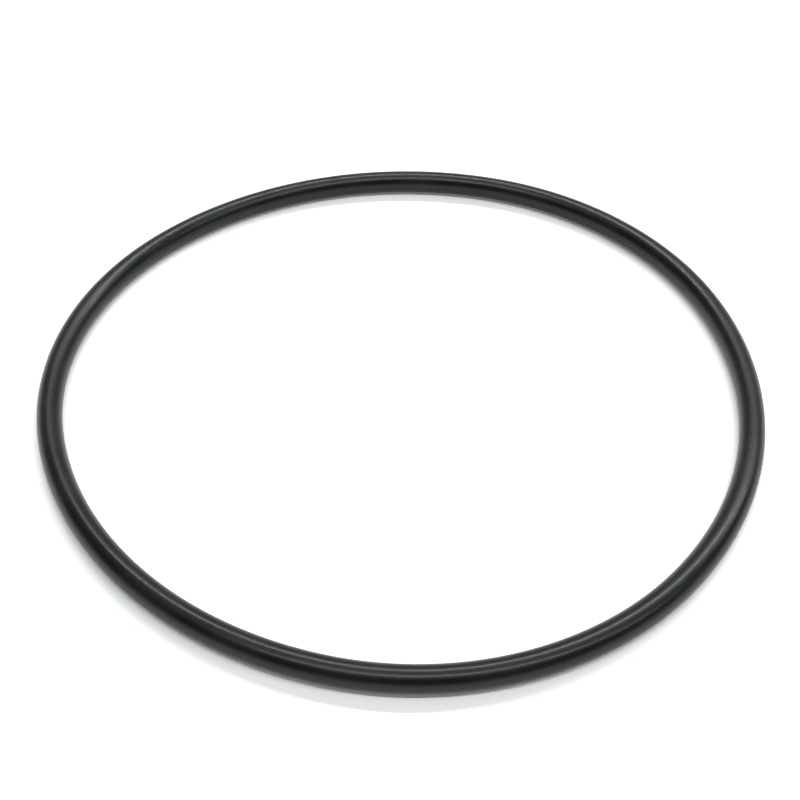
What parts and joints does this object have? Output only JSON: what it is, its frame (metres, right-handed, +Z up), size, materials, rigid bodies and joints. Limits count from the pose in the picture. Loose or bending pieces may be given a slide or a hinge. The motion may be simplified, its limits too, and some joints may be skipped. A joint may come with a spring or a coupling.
{
  "type": "rubber o-ring",
  "caption": "Round-section rubber sealing ring, moulded as one closed loop, that seats in a groove to seal a lid, flange, pipe or shaft.",
  "frame": {"origin": "centre of the ring, at half the height of its section", "axes": "+Z up along the ring's axis, and the ring lies in the XY plane; its first lobe points 47 degrees anticlockwise from +X"},
  "size_m": [0.1556, 0.1556, 0.0052],
  "materials": {
    "black_rubber": "solid black moulded rubber with a smooth satin skin"
  },
  "bodies": {
    "root": {"o_ring": "black_rubber"}
  },
  "joints": []
}
